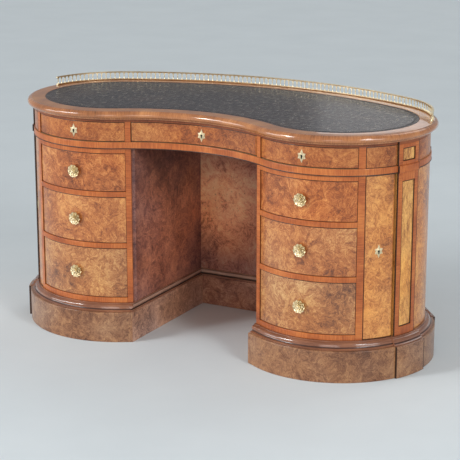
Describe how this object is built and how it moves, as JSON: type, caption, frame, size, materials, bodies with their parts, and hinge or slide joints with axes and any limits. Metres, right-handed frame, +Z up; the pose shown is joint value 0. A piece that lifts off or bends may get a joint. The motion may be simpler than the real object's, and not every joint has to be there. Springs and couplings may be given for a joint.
{
  "type": "kidney-shaped pedestal desk",
  "caption": "Kidney-shaped burr walnut pedestal desk with leather top, brass gallery, bowed drawers, curved end doors and an open kneehole.",
  "frame": {"origin": "on the floor under the middle of the plan", "axes": "+Z up, +X to the sitter's right along the long side, the kneehole and drawers face -Y"},
  "size_m": [1.3966, 0.6995, 0.768],
  "materials": {
    "burr_walnut": "polished burr veneer",
    "crossbanding": "polished straight-grain crossbanding",
    "kneehole_veneer": "polished dark veneer",
    "plinth_wood": "polished dark walnut",
    "inner_wood": "plain waxed inner wood",
    "leather": "smooth dark hide",
    "brass": "polished brass"
  },
  "bodies": {
    "carcase": {"back_panel": "burr_walnut", "base_moulding": "plinth_wood", "cupboard_partitions": "inner_wood", "door_pins": "brass", "drawer_rails": "crossbanding", "dustboards": "inner_wood", "frieze_back_panel": "burr_walnut", "frieze_base_board": "crossbanding", "frieze_dividers": "inner_wood", "frieze_end_panels": "burr_walnut", "frieze_pilaster_blocks": "burr_walnut", "frieze_stiles": "crossbanding", "gallery_base_rail": "brass", "gallery_spindles": "brass", "gallery_top_rail": "brass", "kneehole_back": "kneehole_veneer", "kneehole_sides": "kneehole_veneer", "pedestal_bottom_boards": "inner_wood", "pedestal_end_panels": "burr_walnut", "pedestal_pilasters": "burr_walnut", "pedestal_stiles": "crossbanding", "pedestal_top_boards": "inner_wood", "pilaster_bands": "crossbanding", "pilaster_plinth_blocks": "plinth_wood", "plinth_end_boards": "plinth_wood", "plinth_inner_boards": "plinth_wood", "subtop_board": "crossbanding", "top_board": "burr_walnut", "writing_leather": "leather"},
    "left_top_drawer": {"left_top_drawer_front": "burr_walnut", "left_top_drawer_box": "inner_wood", "left_top_drawer_knob": "brass"},
    "left_middle_drawer": {"left_middle_drawer_front": "burr_walnut", "left_middle_drawer_box": "inner_wood", "left_middle_drawer_knob": "brass"},
    "left_bottom_drawer": {"left_bottom_drawer_front": "burr_walnut", "left_bottom_drawer_box": "inner_wood", "left_bottom_drawer_knob": "brass"},
    "left_frieze_drawer": {"left_frieze_drawer_front": "burr_walnut", "left_frieze_drawer_box": "inner_wood", "left_frieze_drawer_lock": "brass"},
    "left_door_body": {"left_door": "burr_walnut", "left_door_lock": "brass"},
    "right_top_drawer": {"right_top_drawer_front": "burr_walnut", "right_top_drawer_box": "inner_wood", "right_top_drawer_knob": "brass"},
    "right_middle_drawer": {"right_middle_drawer_front": "burr_walnut", "right_middle_drawer_box": "inner_wood", "right_middle_drawer_knob": "brass"},
    "right_bottom_drawer": {"right_bottom_drawer_front": "burr_walnut", "right_bottom_drawer_box": "inner_wood", "right_bottom_drawer_knob": "brass"},
    "right_frieze_drawer": {"right_frieze_drawer_front": "burr_walnut", "right_frieze_drawer_box": "inner_wood", "right_frieze_drawer_lock": "brass"},
    "right_door_body": {"right_door": "burr_walnut", "right_door_lock": "brass"},
    "centre_frieze_drawer": {"centre_frieze_drawer_front": "burr_walnut", "centre_frieze_drawer_box": "inner_wood", "centre_frieze_drawer_lock": "brass"}
  },
  "joints": [
    {"name": "right_top_drawer_slide", "type": "slide", "parent": "carcase", "child": "right_top_drawer", "axis": [0, -1, 0], "range_m": [0, 0.3]},
    {"name": "right_middle_drawer_slide", "type": "slide", "parent": "carcase", "child": "right_middle_drawer", "axis": [0, -1, 0], "range_m": [0, 0.3]},
    {"name": "right_bottom_drawer_slide", "type": "slide", "parent": "carcase", "child": "right_bottom_drawer", "axis": [0, -1, 0], "range_m": [0, 0.3]},
    {"name": "right_frieze_drawer_slide", "type": "slide", "parent": "carcase", "child": "right_frieze_drawer", "axis": [0, -1, 0], "range_m": [0, 0.3]},
    {"name": "right_door_hinge", "type": "hinge", "parent": "carcase", "child": "right_door_body", "pos_m": [0.61653, -0.17962, 0.371], "axis": [0, 0, 1], "range_deg": [0, 90]},
    {"name": "left_top_drawer_slide", "type": "slide", "parent": "carcase", "child": "left_top_drawer", "axis": [0, -1, 0], "range_m": [0, 0.3]},
    {"name": "left_middle_drawer_slide", "type": "slide", "parent": "carcase", "child": "left_middle_drawer", "axis": [0, -1, 0], "range_m": [0, 0.3]},
    {"name": "left_bottom_drawer_slide", "type": "slide", "parent": "carcase", "child": "left_bottom_drawer", "axis": [0, -1, 0], "range_m": [0, 0.3]},
    {"name": "left_frieze_drawer_slide", "type": "slide", "parent": "carcase", "child": "left_frieze_drawer", "axis": [0, -1, 0], "range_m": [0, 0.3]},
    {"name": "left_door_hinge", "type": "hinge", "parent": "carcase", "child": "left_door_body", "pos_m": [-0.61653, -0.17962, 0.371], "axis": [0, 0, -1], "range_deg": [0, 90]},
    {"name": "centre_frieze_drawer_slide", "type": "slide", "parent": "carcase", "child": "centre_frieze_drawer", "axis": [0, -1, 0], "range_m": [0, 0.28]}
  ]
}
